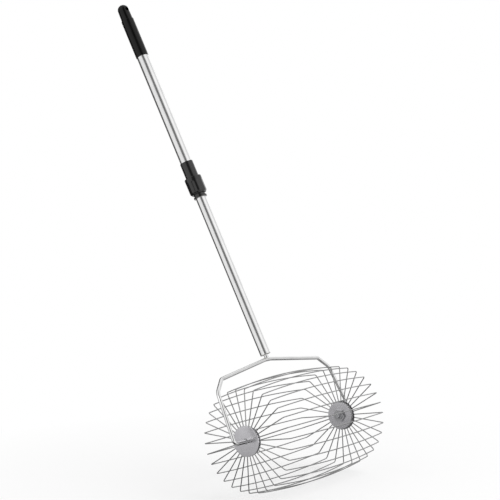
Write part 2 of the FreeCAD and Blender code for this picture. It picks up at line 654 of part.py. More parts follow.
def upper_pole():
    """Collar sleeve, upper tube and the grip with its hanging hole."""
    sleeve = turned("collar_sleeve", "V_Axis", [
        (UPPER_BORE, SLEEVE_START),
        (SLEEVE_RADIUS, SLEEVE_START),
        (SLEEVE_RADIUS, SLEEVE_END),
        (UPPER_SEAT, SLEEVE_END),
        (UPPER_SEAT, UPPER_TUBE_START),
        (UPPER_BORE, UPPER_TUBE_START),
    ])
    tube = turned("upper_tube", "V_Axis", [
        (UPPER_BORE, UPPER_TUBE_START),
        (UPPER_TUBE_RADIUS, UPPER_TUBE_START),
        (UPPER_TUBE_RADIUS, UPPER_TUBE_END),
        (UPPER_BORE, UPPER_TUBE_END),
    ])
    grip = turned("handle_grip", "V_Axis", [
        (UPPER_SEAT, GRIP_START),
        (GRIP_RADIUS, GRIP_START),
        (GRIP_RADIUS, GRIP_STEP, "size.grip_edge"),
        (GRIP_END_RADIUS, GRIP_STEP),
        (GRIP_TIP_RADIUS, GRIP_TIP, f"{GRIP_TIP_RADIUS} - size.grip_tip_flat"),
        ("0", GRIP_TIP),
        ("0", UPPER_TUBE_END),
        (UPPER_SEAT, UPPER_TUBE_END),
    ])
    hole = new_sketch(grip, "hang_hole_outline", "XZ_Plane")
    circle(hole, "0", f"{GRIP_TIP} - size.hang_hole_drop", "size.hang_hole_diameter / 2")
    cut(grip, "hang_hole_cut", hole, f"2 * ({GRIP_END_RADIUS} + size.overrun)")
    return [sleeve, tube, grip]


wires = cage_wires()
hub_pieces = hubs()
end_pieces = axle_ends()
pole_pieces = [fork(), fork_stem()] + lower_pole() + [clamp_collet(), lock_nut()] + upper_pole()
for piece in pole_pieces:
    place_on_pole(piece)
# The washers and caps are turned with the axle stubs, which lie on the axle either way.
sub_parts = wires + hub_pieces + end_pieces + pole_pieces
doc.recompute()

for item in doc.Objects:
    if "Invalid" in item.State or "Error" in item.State:
        raise RuntimeError(f"{item.Name} failed: {item.State}")
for piece in sub_parts:
    shape = piece.Shape
    if shape.isNull() or not shape.isValid() or len(shape.Solids) != 1:
        raise RuntimeError(f"{piece.Label} has no valid solid")

os.makedirs("parts", exist_ok=True)
for piece in sub_parts:
    piece.Shape.exportStep(os.path.join("parts", piece.Label + ".step"))
print(f"{len(sub_parts)} sub-parts written")
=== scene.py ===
import json
import math
from types import SimpleNamespace

import bpy
import numpy as np
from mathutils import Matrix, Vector


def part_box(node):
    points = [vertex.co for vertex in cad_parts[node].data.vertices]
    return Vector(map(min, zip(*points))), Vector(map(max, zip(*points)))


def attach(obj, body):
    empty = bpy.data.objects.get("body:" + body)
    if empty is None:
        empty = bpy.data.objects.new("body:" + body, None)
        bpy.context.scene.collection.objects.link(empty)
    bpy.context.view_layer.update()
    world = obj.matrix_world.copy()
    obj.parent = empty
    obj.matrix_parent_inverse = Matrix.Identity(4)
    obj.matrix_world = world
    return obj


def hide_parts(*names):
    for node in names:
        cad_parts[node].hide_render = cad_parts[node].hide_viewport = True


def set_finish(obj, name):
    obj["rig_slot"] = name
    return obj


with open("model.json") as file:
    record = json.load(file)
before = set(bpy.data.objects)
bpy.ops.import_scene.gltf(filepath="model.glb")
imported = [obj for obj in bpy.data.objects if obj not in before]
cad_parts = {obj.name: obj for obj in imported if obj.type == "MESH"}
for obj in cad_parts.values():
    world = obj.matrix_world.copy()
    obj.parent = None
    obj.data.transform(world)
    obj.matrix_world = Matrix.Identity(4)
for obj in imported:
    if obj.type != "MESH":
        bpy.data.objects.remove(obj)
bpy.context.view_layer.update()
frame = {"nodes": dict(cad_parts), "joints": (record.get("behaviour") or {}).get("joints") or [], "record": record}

MM = 0.001
WHOLE_TURN = 2 * math.pi
JOINTS = {joint["name"]: joint for joint in frame["joints"]}
MOUNTS = {mount["name"]: mount for mount in frame["record"]["mounts"]}
AXLE = np.array(JOINTS["drum_spin"]["pos_m"], float)
POLE = np.array(JOINTS["pole_slide"]["axis"], float)
LEAN = math.atan2(POLE[1], POLE[2])
LOWER_POLE = "fork_and_lower_pole"
UPPER_POLE = "upper_pole"


# Places on the frame

def mesh_points(mesh):
    """All points of a mesh, one row each."""
    points = np.empty(len(mesh.vertices) * 3)
    mesh.vertices.foreach_get("co", points)
    return points.reshape(-1, 3)


def pole_places(node):
    """How far along the pole from the axle a node's points lie, and how far out from the pole's line."""
    offset = mesh_points(frame["nodes"][node].data) - AXLE
    along = offset @ POLE
    return along, np.linalg.norm(offset - np.outer(along, POLE), axis=1)


def along_pole(node):
    """Where a node starts and ends along the pole from the axle, and its largest radius round the pole."""
    along, radius = pole_places(node)
    return along.min(), along.max(), radius.max()


def radius_between(node, low, high):
    """A node's largest radius round the pole between two places along it."""
    along, radius = pole_places(node)
    return radius[(along > low) & (along < high)].max()


def lean_over(points):
    """Points drawn round an upright pole over the origin, turned about X onto the leaning pole."""
    across, depth, height = np.moveaxis(points, -1, 0)
    turned_depth = depth * math.cos(LEAN) + height * math.sin(LEAN)
    turned_height = height * math.cos(LEAN) - depth * math.sin(LEAN)
    return AXLE + np.stack([across, turned_depth, turned_height], axis=-1)


# Meshes

ONE_QUAD = [(0, 1, 2, 3)]


def mesh_object(name, points, faces):
    """A smooth mesh object at the origin from points and faces."""
    mesh = bpy.data.meshes.new(name)
    mesh.from_pydata(points.tolist(), [], faces)
    mesh.validate()
    mesh.polygons.foreach_set("use_smooth", np.ones(len(mesh.polygons), bool))
    piece = bpy.data.objects.new(name, mesh)
    bpy.context.scene.collection.objects.link(piece)
    return piece


def ring_faces(rows, columns, closed):
    """Quads between neighbouring rings of a grid; a closed grid also joins its last ring to its first."""
    index = np.arange(rows * columns).reshape(rows, columns)
    beside = np.roll(index, -1, axis=1)
    quads = np.stack([index, beside, np.roll(beside, -1, axis=0), np.roll(index, -1, axis=0)], axis=-1)
    used = quads if closed else quads[:-1]
    return used.reshape(-1, 4).tolist()


def capped_rings(name, rings):
    """A closed skin through rings of points; fans to their middles close the first ring and the last."""
    rows, columns = rings.shape[:2]
    first_middle = rows * columns
    middles = np.stack([rings[0].mean(axis=0), rings[-1].mean(axis=0)])
    points = np.concatenate([rings.reshape(-1, 3), middles])
    ring = np.arange(columns)
    after = np.roll(ring, -1)
    first_fan = np.stack([np.full(columns, first_middle), after, ring], axis=-1)
    last = (rows - 1) * columns
    last_fan = np.stack([np.full(columns, first_middle + 1), last + ring, last + after], axis=-1)
    faces = ring_faces(rows, columns, False) + first_fan.tolist() + last_fan.tolist()
    return mesh_object(name, points, faces)


def closed_rings(name, rings):
    """A ring-shaped skin whose last ring joins its first."""
    rows, columns = rings.shape[:2]
    return mesh_object(name, rings.reshape(-1, 3), ring_faces(rows, columns, True))


def resample(corners, step):
    """Points along straight lines between corners, no further apart than the step, corners included."""
    corners = np.asarray(corners, float)
    lengths = np.linalg.norm(np.diff(corners, axis=0), axis=1)
    counts = np.maximum(np.ceil(lengths / step).astype(int), 1)
    runs = [
        np.linspace(corners[index], corners[index + 1], count, endpoint=False)
        for index, count in enumerate(counts)
    ]
    return np.concatenate(runs + [corners[-1:]])


def arc(centre, radius, angles, count):
    """Points of an arc in the (radius, height) plane between two angles in degrees: the centre plus the
    radius times the cosine and the sine of the angle."""
    angle = np.radians(np.linspace(*angles, count))
    return np.stack([centre[0] + radius * np.cos(angle), centre[1] + radius * np.sin(angle)], axis=-1)


def turned_rings(profile, columns):
    """Rings of a turned form: each profile point (radius, height) carried once round the upright axis."""
    angle = np.linspace(0, WHOLE_TURN, columns, endpoint=False)
    radius = profile[:, :1]
    height = np.broadcast_to(profile[:, 1:], (len(profile), columns))
    return np.stack([radius * np.cos(angle), radius * np.sin(angle), height], axis=-1)


def smooth_step(share):
    """Three squares less two cubes of the share, held between nought and one."""
    held = np.clip(share, 0, 1)
    return held * held * (3 - 2 * held)


def settle(piece):
    """Apply all modifiers of a piece."""
    graph = bpy.context.evaluated_depsgraph_get()
    mesh = bpy.data.meshes.new_from_object(piece.evaluated_get(graph))
    piece.modifiers.clear()
    piece.data = mesh
    mesh.polygons.foreach_set("use_smooth", np.ones(len(mesh.polygons), bool))


# Grip sleeve

GRIP_EDGE = 0.8 * MM
GRIP_TOLERANCE = 0.05 * MM
STEP_MARGIN = 1 * MM
TUBE_SEAT = 0.1 * MM
GRIP_COLUMNS = 270
RIM_ROUNDING = 0.9 * MM
RIM_ANGLES = (-80, 0)
STEP_ANGLES = (0, 90)
RIM_POINTS = 6
BORE_STEP = 8 * MM
SHOULDER_INSET = 1 * MM
KNURLS_ROUND = 20
KNURL_DEPTH = 0.14 * MM
KNURL_FADE = 2.5 * MM
KNURL_TOLERANCE = 0.01 * MM
GROOVE_SHARE = 0.35
PLAIN_BAND = 8 * MM


def grip_sizes():
    """The grip's start, tip and radius, and the place and radius of the step to its narrower end."""
    start, tip, radius = along_pole("handle_grip")
    along, out = pole_places("handle_grip")
    step = along[out > radius - GRIP_TOLERANCE].max() + GRIP_EDGE
    narrow = radius_between("handle_grip", step + STEP_MARGIN, tip)
    return SimpleNamespace(start=start, tip=tip, radius=radius, step=step, narrow=narrow)


def knurl_relief(angle, height, radius, start, end):
    """Depth of crossed grooves. Two phases, knurl count times the angle plus and minus the height over the
    radius, each give a groove where the sine of half the phase is near nought; the deeper of the two counts,
    and it fades to nothing towards the start and the end."""
    turn = KNURLS_ROUND * angle
    climb = KNURLS_ROUND * height / radius
    groove = np.minimum(np.abs(np.sin((turn + climb) / 2)), np.abs(np.sin((turn - climb) / 2)))
    depth = 1 - smooth_step(groove / GROOVE_SHARE)
    fade = smooth_step((height - start) / KNURL_FADE) * smooth_step((end - height) / KNURL_FADE)
    return KNURL_DEPTH * depth * fade


def make_grip_sleeve():
    """Rubber sleeve with crossed grooves: a profile of radius and height, from the tube's end down the bore,
    round the rim and up the wall to the step, carried once round the pole. The wall's radius loses the
    relief of the grooves."""
    grip = grip_sizes()
    _, tube_end, tube_radius = along_pole("upper_tube")
    bore = tube_radius + TUBE_SEAT
    bottom = tube_end + TUBE_SEAT
    rim = grip.radius - RIM_ROUNDING
    pitch = WHOLE_TURN * grip.radius / GRIP_COLUMNS
    wall_start = grip.start + RIM_ROUNDING + pitch
    wall_end = grip.step - 2 * RIM_ROUNDING
    profile = np.concatenate([
        [(bore / 2, bottom), (bore, bottom)],
        resample([(bore, bottom - pitch), (bore, grip.start + pitch)], BORE_STEP),
        [(bore, grip.start), (rim, grip.start)],
        arc((rim, grip.start + RIM_ROUNDING), RIM_ROUNDING, RIM_ANGLES, RIM_POINTS),
        resample([(grip.radius, wall_start), (grip.radius, wall_end)], pitch),
        arc((rim, grip.step - RIM_ROUNDING), RIM_ROUNDING, STEP_ANGLES, RIM_POINTS),
        [(grip.narrow - SHOULDER_INSET, grip.step), (grip.narrow / 2, grip.step)],
    ])
    rings = turned_rings(profile, GRIP_COLUMNS)
    angle = np.linspace(0, WHOLE_TURN, GRIP_COLUMNS, endpoint=False)
    outer = profile[:, :1] > grip.radius - KNURL_TOLERANCE
    knurl_start = grip.start + KNURL_FADE
    knurl_end = grip.step - PLAIN_BAND
    relief = knurl_relief(angle, profile[:, 1:], grip.radius, knurl_start, knurl_end) * outer
    rings[..., :2] *= (1 - relief / grip.radius)[..., None]
    sleeve = capped_rings("grip_sleeve", lean_over(rings))
    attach(sleeve, UPPER_POLE)
    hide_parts("handle_grip")
    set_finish(sleeve, "grip_rubber")
    return sleeve


# Grip end

END_TAPER = 0.7 * MM
END_LIFT = 0.05 * MM
END_STEP = 1 * MM
END_COLUMNS = 96
TIP_FLAT = 0.4 * MM
DOME_ANGLES = (5, 88)
DOME_POINTS = 18
BORE_COLUMNS = 64
REMESH_VOXEL = 0.4 * MM
SOFTEN_FACTOR = 0.5
SOFTEN_ROUNDS = 8


def hang_hole_bar(reach):
    """Round bar for the hanging hole: two rings of the hole's radius round an upright axis, turned a quarter
    about X so that the bar crosses the pole at the hole's height."""
    hole = MOUNTS["hang_hole"]["dims"]["r_mm"] * MM
    height = (np.array(MOUNTS["hang_hole"]["pos_m"]) - AXLE) @ POLE
    upright = turned_rings(np.array([(hole, -reach), (hole, reach)]), BORE_COLUMNS)
    crossing = upright[..., [0, 2, 1]] * np.array([1, -1, 1]) + np.array([0, 0, height])
    return capped_rings("hang_hole_bore", crossing)


def bore_and_soften(piece, bar):
    """Cut the bar out of the piece, make its mesh even and soften its edges."""
    cut = piece.modifiers.new("hang_hole", "BOOLEAN")
    cut.object = bar
    cut.operation = "DIFFERENCE"
    cut.solver = "EXACT"
    remesh = piece.modifiers.new("even", "REMESH")
    remesh.mode = "VOXEL"
    remesh.voxel_size = REMESH_VOXEL
    remesh.use_smooth_shade = True
    soften = piece.modifiers.new("soft_edges", "SMOOTH")
    soften.factor = SOFTEN_FACTOR
    soften.iterations = SOFTEN_ROUNDS
    settle(piece)
    bpy.data.objects.remove(bar)


def make_grip_end():
    """Rounded end with the hanging hole: a profile of radius and height, a tapered wall and an arc over the
    tip, carried once round the pole, with a round bore cut across it and its edges softened."""
    grip = grip_sizes()
    dome = grip.narrow - END_TAPER - TIP_FLAT
    foot = grip.step + END_LIFT
    profile = np.concatenate([
        [(grip.narrow / 2, foot)],
        resample([(grip.narrow, foot), (dome + TIP_FLAT, grip.tip - dome)], END_STEP),
        arc((TIP_FLAT, grip.tip - dome), dome, DOME_ANGLES, DOME_POINTS),
    ])
    end = capped_rings("grip_end", turned_rings(profile, END_COLUMNS))
    bore_and_soften(end, hang_hole_bar(2 * grip.narrow))
    end.data.vertices.foreach_set("co", lean_over(mesh_points(end.data)).ravel())
    end.data.update()
    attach(end, UPPER_POLE)
    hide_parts("handle_grip")
    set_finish(end, "grip_rubber")
    return end


# Lock nut

NUT_COLUMNS = 192
NUT_LOBES = 8
NUT_CLEARANCE = 0.3 * MM
NUT_BAND = 9 * MM
NUT_NOSE = 4.5 * MM
NUT_NOSE_DROP = 2.6 * MM
NUT_EDGE = 1.6 * MM
NUT_WALL_STEP = 1.2 * MM
EDGE_ANGLES = (10, 90)
EDGE_POINTS = 7
NOSE_ROUNDING = 0.8 * MM
NOSE_ANGLES = (-70, -20)
NOSE_POINTS = 4
LIP_REACH = 0.1 * MM
LOBE_DEPTH = 0.9 * MM
LOBE_RISE = 4 * MM
LOBE_MARGIN = 0.5 * MM


def make_lock_nut():
    """Twist-lock nut: a turned wall whose radius loses a lobe's depth times the square of a raised cosine of
    the lobe count times the angle, from nothing at the plain band to the full depth at the rounded nose."""
    start, end, radius = along_pole("lock_nut")
    collar_start, _, collar_radius = along_pole("collar_sleeve")
    bore = collar_radius + NUT_CLEARANCE
    shoulder = collar_start - NUT_CLEARANCE
    lip = radius_between("clamp_collet", start - LIP_REACH, start + LIP_REACH) + NUT_CLEARANCE
    cone = radius_between("clamp_collet", start, end) + NUT_CLEARANCE
    tip = radius - NUT_NOSE_DROP
    nose = start + NUT_NOSE
    band = end - NUT_BAND
    profile = np.concatenate([
        [(bore, end), (bore, shoulder), (cone, shoulder)],
        [(lip, start), (tip - NOSE_ROUNDING, start)],
        arc((tip - NOSE_ROUNDING, start + NOSE_ROUNDING), NOSE_ROUNDING, NOSE_ANGLES, NOSE_POINTS),
        resample([(tip, start + NOSE_ROUNDING), (radius, nose)], NOSE_ROUNDING),
        resample([(radius, nose + NOSE_ROUNDING), (radius, band)], NUT_WALL_STEP),
        resample([(radius, band + NUT_WALL_STEP / 2), (radius, end - NUT_EDGE)], NUT_WALL_STEP),
        arc((radius - NUT_EDGE, end - NUT_EDGE), NUT_EDGE, EDGE_ANGLES, EDGE_POINTS),
    ])
    rings = turned_rings(profile, NUT_COLUMNS)
    angle = np.linspace(0, WHOLE_TURN, NUT_COLUMNS, endpoint=False)
    lobe = (0.5 - 0.5 * np.cos(NUT_LOBES * angle)) ** 2
    rise = smooth_step((band - profile[:, 1:]) / LOBE_RISE) * (profile[:, :1] > bore + LOBE_MARGIN)
    outward = np.linalg.norm(rings[..., :2], axis=-1)
    rings[..., :2] *= (1 - LOBE_DEPTH * rise * lobe / outward)[..., None]
    nut = closed_rings("lock_nut_shell", lean_over(rings))
    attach(nut, "lock_nut")
    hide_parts("lock_nut")
    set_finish(nut, "collar_plastic")
    return nut


# Weld between stem and fork

BEAD_RADIUS = 1.15 * MM
BEAD_RIPPLES = 26
RIPPLE_SHARE = 0.06
BEAD_COLUMNS = 156
BEAD_SIDES = 14
CROSSBAR_FALL_SHARE = 0.113


def make_stem_weld():
    """Weld bead: a small round section carried along the curve where the stem's cylinder meets the rod's.
    Its height over the rod's middle is the root of the rod's radius squared less the depth squared, less
    the crossbar's fall to both sides. The section's radius ripples with the sine of the angle."""
    crossbar, _, radius = along_pole("fork_stem")
    rod = along_pole("fork_frame")[1] - crossbar
    angle = np.linspace(0, WHOLE_TURN, BEAD_COLUMNS, endpoint=False)
    across = radius * np.cos(angle)
    depth = radius * np.sin(angle)
    rise = np.sqrt(np.maximum(rod ** 2 - depth ** 2, 0))
    height = crossbar + rise - CROSSBAR_FALL_SHARE * np.abs(across)
    section = np.linspace(0, WHOLE_TURN, BEAD_SIDES, endpoint=False)[:, None]
    thickness = BEAD_RADIUS * (1 + RIPPLE_SHARE * np.sin(BEAD_RIPPLES * angle))
    outward = thickness * np.cos(section)
    lift = thickness * np.sin(section)
    bead_across = across + outward * np.cos(angle)
    bead_depth = depth + outward * np.sin(angle)
    points = np.stack([bead_across, bead_depth, height + lift], axis=-1)
    bead = closed_rings("stem_weld", lean_over(points))
    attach(bead, LOWER_POLE)
    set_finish(bead, "fork_rod")
    return bead


# Nodes

NOISE_LOW = 0.3
NOISE_HIGH = 0.7
NOISE_DETAIL = 3.0
ALL_WAYS = (1, 1, 1)


def new_material(name):
    """An empty material with its node tree and its shader."""
    material = bpy.data.materials.new(name)
    material.use_nodes = True
    tree = material.node_tree
    return material, tree, tree.nodes["Principled BSDF"]


def find_socket(node, key):
    """An input of a node by its name, with low lines for spaces, or by its number after the letter i."""
    if key[0] == "i" and key[1:].isdigit():
        return node.inputs[int(key[1:])]
    return node.inputs[key.replace("_", " ")]


def add_node(tree, kind, settings=None, **sockets):
    """A node with its settings; each socket is given a value or linked to another node's output."""
    node = tree.nodes.new(kind)
    for setting, value in (settings or {}).items():
        setattr(node, setting, value)
    for key, value in sockets.items():
        socket = find_socket(node, key)
        if isinstance(value, bpy.types.NodeSocket):
            tree.links.new(value, socket)
        else:
            socket.default_value = value
    return node


def number_math(tree, operation, *values):
    """The result of a Math node on its values in order."""
    sockets = {f"i{index}": value for index, value in enumerate(values)}
    return add_node(tree, "ShaderNodeMath", {"operation": operation}, **sockets).outputs[0]


def vector_math(tree, operation, output, *values):
    """The named output of a Vector Math node on its values in order."""
    sockets = {f"i{index}": value for index, value in enumerate(values)}
    return add_node(tree, "ShaderNodeVectorMath", {"operation": operation}, **sockets).outputs[output]


def between(tree, source, low, high, from_low=NOISE_LOW, from_high=NOISE_HIGH):
    """The source spread from one range over another, held at both ends."""
    node = add_node(tree, "ShaderNodeMapRange", Value=source, From_Min=from_low, From_Max=from_high,
                    To_Min=low, To_Max=high)
    return node.outputs[0]


def object_place(tree, on_pole):
    """Object coordinates from the axle, turned so that Z runs along the pole where asked."""
    source = add_node(tree, "ShaderNodeTexCoord").outputs["Object"]
    moved = vector_math(tree, "SUBTRACT", "Vector", source, Vector(AXLE))
    if not on_pole:
        return moved
    return add_node(tree, "ShaderNodeMapping", Vector=moved, Rotation=Vector((LEAN, 0, 0))).outputs[0]


def noise(tree, place, scale, stretch=ALL_WAYS, detail=NOISE_DETAIL):
    """Noise over a place, with its frequency along each axis."""
    spread = add_node(tree, "ShaderNodeMapping", Vector=place, Scale=Vector(stretch)).outputs[0]
    return add_node(tree, "ShaderNodeTexNoise", Vector=spread, Scale=scale, Detail=detail).outputs["Fac"]


def tinted(tree, source, dark, light):
    """A colour between two by the source."""
    ramp = add_node(tree, "ShaderNodeValToRGB", Fac=source)
    low_stop, high_stop = ramp.color_ramp.elements
    low_stop.position = NOISE_LOW
    low_stop.color = (*dark, 1)
    high_stop.position = NOISE_HIGH
    high_stop.color = (*light, 1)
    return ramp.outputs[0]


def bumped(tree, source, distance, under=None):
    """A bump of full strength from the source, on top of another bump where given."""
    bump = add_node(tree, "ShaderNodeBump", Height=source, Distance=distance, Strength=1.0)
    if under is not None:
        tree.links.new(under, bump.inputs["Normal"])
    return bump.outputs[0]


def turn_about(tree, direction, facing, sideways):
    """Angle of a direction from one axis towards another, by arctangent."""
    toward = vector_math(tree, "DOT_PRODUCT", "Value", direction, facing)
    aside = vector_math(tree, "DOT_PRODUCT", "Value", direction, sideways)
    return number_math(tree, "ARCTAN2", aside, toward)


# Finishes

METAL_CLOUD_SCALE = 35.0
DISC_CLOUD_SCALE = 55.0
CLOUD_DETAIL = 4.0
MOTTLE_SCALE = 60.0
MOTTLE_DETAIL = 5.0
PEBBLE_SMOOTHNESS = 0.6
TURNING_SCALE = 700.0
TURNING_DISTORTION = 1.5
TURNING_DETAIL = 2.0
SPECKLE_SCALE = 1400.0
SPECKLE_DETAIL = 2.0
DISC_DARK = (0.75, 0.74, 0.77)
DISC_LIGHT = (0.83, 0.82, 0.85)
DISC_ROUGHNESS = (0.16, 0.25)
DISC_GRAIN = 0.004 * MM
ALONG_X = (0.05, 1, 1)
ALONG_POLE = (1, 1, 0.02)


def grey(level):
    """A colour without a cast."""
    return (level, level, level)


def metal(name, on_pole, dark, light, rough, streak, streak_scale, grain):
    """Metal with cloudy colour, streaked roughness and a fine grain in its surface."""
    material, tree, shader = new_material(name)
    place = object_place(tree, on_pole)
    cloud = noise(tree, place, METAL_CLOUD_SCALE, detail=CLOUD_DETAIL)
    streaks = noise(tree, place, streak_scale, streak)
    tree.links.new(tinted(tree, cloud, dark, light), shader.inputs["Base Color"])
    tree.links.new(between(tree, streaks, *rough), shader.inputs["Roughness"])
    tree.links.new(bumped(tree, streaks, grain), shader.inputs["Normal"])
    shader.inputs["Metallic"].default_value = 1.0
    return material


def plastic(name, on_pole, dark, light, rough, grain_scale, grain, specular):
    """Moulded plastic: mottled colour, uneven roughness and a fine pebbled grain."""
    material, tree, shader = new_material(name)
    place = object_place(tree, on_pole)
    mottle = noise(tree, place, MOTTLE_SCALE, detail=MOTTLE_DETAIL)
    pebbles = add_node(tree, "ShaderNodeTexVoronoi", {"feature": "SMOOTH_F1"}, Vector=place,
                       Scale=grain_scale, Smoothness=PEBBLE_SMOOTHNESS).outputs["Distance"]
    tree.links.new(tinted(tree, mottle, dark, light), shader.inputs["Base Color"])
    tree.links.new(between(tree, mottle, *rough), shader.inputs["Roughness"])
    tree.links.new(bumped(tree, pebbles, grain), shader.inputs["Normal"])
    shader.inputs["Specular IOR Level"].default_value = specular
    return material


def disc_metal():
    """Satin zinc on the stamped discs: turning rings about the axle, clouds and a faint violet cast."""
    material, tree, shader = new_material("satin_zinc")
    place = object_place(tree, False)
    rings = add_node(tree, "ShaderNodeTexWave", {"wave_type": "RINGS", "rings_direction": "X"}, Vector=place,
                     Scale=TURNING_SCALE, Distortion=TURNING_DISTORTION,
                     Detail=TURNING_DETAIL).outputs["Fac"]
    cloud = noise(tree, place, DISC_CLOUD_SCALE, detail=CLOUD_DETAIL)
    speckle = noise(tree, place, SPECKLE_SCALE, detail=SPECKLE_DETAIL)
    tree.links.new(tinted(tree, cloud, DISC_DARK, DISC_LIGHT), shader.inputs["Base Color"])
    tree.links.new(between(tree, speckle, *DISC_ROUGHNESS), shader.inputs["Roughness"])
    fine = bumped(tree, rings, DISC_GRAIN)
    tree.links.new(bumped(tree, speckle, DISC_GRAIN, under=fine), shader.inputs["Normal"])
    shader.inputs["Metallic"].default_value = 1.0
    return material


def slot_materials():
    """Each of the frame's slots with its finish."""
    return {
        "cage_wire": metal(
            "bright_spring_wire", on_pole=False, dark=grey(0.36), light=grey(0.46), rough=(0.14, 0.26),
            streak=ALONG_X, streak_scale=1500.0, grain=0.01 * MM),
        "fork_rod": metal(
            "bright_rod", on_pole=False, dark=grey(0.82), light=grey(0.90), rough=(0.08, 0.16),
            streak=ALONG_X, streak_scale=900.0, grain=0.01 * MM),
        "pole_tube": metal(
            "drawn_tube", on_pole=True, dark=grey(0.84), light=grey(0.92), rough=(0.14, 0.24),
            streak=ALONG_POLE, streak_scale=2200.0, grain=0.01 * MM),
        "hub_disc": disc_metal(),
        "hub_metal": metal(
            "zinc_plate", on_pole=False, dark=(0.52, 0.52, 0.53), light=(0.64, 0.64, 0.66),
            rough=(0.22, 0.36), streak=ALL_WAYS, streak_scale=600.0, grain=0.01 * MM),
        "bush_plastic": plastic(
            "bush_acetal", on_pole=False, dark=(0.36, 0.36, 0.37), light=(0.44, 0.44, 0.45),
            rough=(0.30, 0.42), grain_scale=900.0, grain=0.01 * MM, specular=0.5),
        "tube_plastic": plastic(
            "natural_nylon", on_pole=True, dark=(0.62, 0.61, 0.57), light=(0.70, 0.69, 0.65),
            rough=(0.35, 0.50), grain_scale=900.0, grain=0.02 * MM, specular=0.5),
        "collar_plastic": plastic(
            "collar_nylon", on_pole=True, dark=grey(0.002), light=grey(0.004), rough=(0.10, 0.16),
            grain_scale=1100.0, grain=0.006 * MM, specular=0.74),
        "grip_rubber": plastic(
            "grip_rubber", on_pole=True, dark=grey(0.0010), light=grey(0.0025), rough=(0.08, 0.15),
            grain_scale=1600.0, grain=0.006 * MM, specular=0.29),
    }


def slot_name(material_name):
    """The record's slot that an imported material belongs to."""
    names = [entry["slot"] for entry in frame["record"]["materials"]]
    return next(name for name in names if material_name.startswith(name))


def dress(pieces):
    """Give every CAD node and new piece the finish of its slot."""
    finish = slot_materials()
    for node in frame["nodes"].values():
        for material_slot in node.material_slots:
            material_slot.material = finish[slot_name(material_slot.material.name)]
    for piece in pieces:
        piece.data.materials.clear()
        piece.data.materials.append(finish[piece["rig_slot"]])


# Camera

VIEW_AZIMUTH = math.radians(-55.223)
VIEW_ELEVATION = math.radians(5.18)
CAMERA_PLACE = Vector((-3.5903, -2.3629, 0.93525))
CAMERA_LENS = 134.48
SENSOR_WIDTH = 36.0


def camera_back():
    """Direction from the object to the camera."""
    level = math.cos(VIEW_ELEVATION)
    across = math.sin(VIEW_AZIMUTH) * level
    depth = -math.cos(VIEW_AZIMUTH) * level
    return Vector((across, depth, math.sin(VIEW_ELEVATION)))


def level_axes():
    """Two level directions: from the object towards the camera, and to the camera's right."""
    back = camera_back()
    back.z = 0
    return back.normalized(), Vector((math.cos(VIEW_AZIMUTH), math.sin(VIEW_AZIMUTH), 0))


def pole_axes():
    """Two directions square to the pole: one towards the camera, one to its right."""
    back = camera_back()
    pole = Vector(POLE)
    facing = (back - back.dot(pole) * pole).normalized()
    sideways = facing.cross(pole).normalized()
    if sideways.dot(level_axes()[1]) < 0:
        sideways.negate()
    return facing, sideways


def place_camera():
    """The photograph's viewpoint, level from side to side."""
    camera = bpy.data.objects.new("camera", bpy.data.cameras.new("camera"))
    bpy.context.scene.collection.objects.link(camera)
    camera.data.lens = CAMERA_LENS
    camera.data.sensor_width = SENSOR_WIDTH
    camera.location = CAMERA_PLACE
    camera.rotation_mode = "QUATERNION"
    camera.rotation_quaternion = (-camera_back()).to_track_quat("-Z", "Y")
    bpy.context.scene.camera = camera


# Lamp and cards of the studio

KEY_PLACE = (0.65, -2.0, 2.9)
KEY_TARGET = (0, 0.1, 0.3)
KEY_WIDTH = 2.2
KEY_POWER = 44
FLAG_DISTANCE = 1.3
FLAG_HEIGHT = 1.5
FLAG_START = math.radians(-98)
FLAG_END = math.radians(-181)
FLAG_STEPS = 24
FLAG_EDGE = math.radians(6)
FLAG_LEVEL = 0.10
CARD_LEFT = 0.29
CARD_FRONT = 0.04
CARD_BACK = 0.12
CARD_LOW = 0.165
CARD_HIGH = 0.215
WHITE_CARD_LEVEL = 2.4
DARK_CARD_NEAR = 0.08
DARK_CARD_FAR = 0.40
DARK_CARD_HALF_WIDTH = 0.14
DARK_CARD_HEIGHT = 0.002
DARK_CARD_LEVEL = 0.02


def hang_key():
    """Key lamp from the upper right of the camera. Polished metal doesn't see it."""
    lamp = bpy.data.objects.new("key", bpy.data.lights.new("key", "AREA"))
    bpy.context.scene.collection.objects.link(lamp)
    lamp.data.size = KEY_WIDTH
    lamp.data.energy = KEY_POWER
    lamp.location = KEY_PLACE
    lamp.rotation_mode = "QUATERNION"
    lamp.rotation_quaternion = (Vector(KEY_TARGET) - Vector(KEY_PLACE)).to_track_quat("-Z", "Y")
    lamp.visible_glossy = False


def mirrored_card(name, points, faces, level):
    """A card of the studio that only mirrors see: it shines at its level and throws no shadow."""
    card = mesh_object(name, points, faces)
    material, tree, shader = new_material(name)
    tree.nodes.remove(shader)
    shine = add_node(tree, "ShaderNodeEmission", Strength=level).outputs[0]
    tree.links.new(shine, tree.nodes["Material Output"].inputs["Surface"])
    card.data.materials.append(material)
    card.visible_camera = False
    card.visible_diffuse = False
    card.visible_shadow = False


def under_pole():
    """Point of the floor under the pole's middle."""
    middle = AXLE + POLE * along_pole("upper_tube")[1] / 2
    middle[2] = 0
    return middle


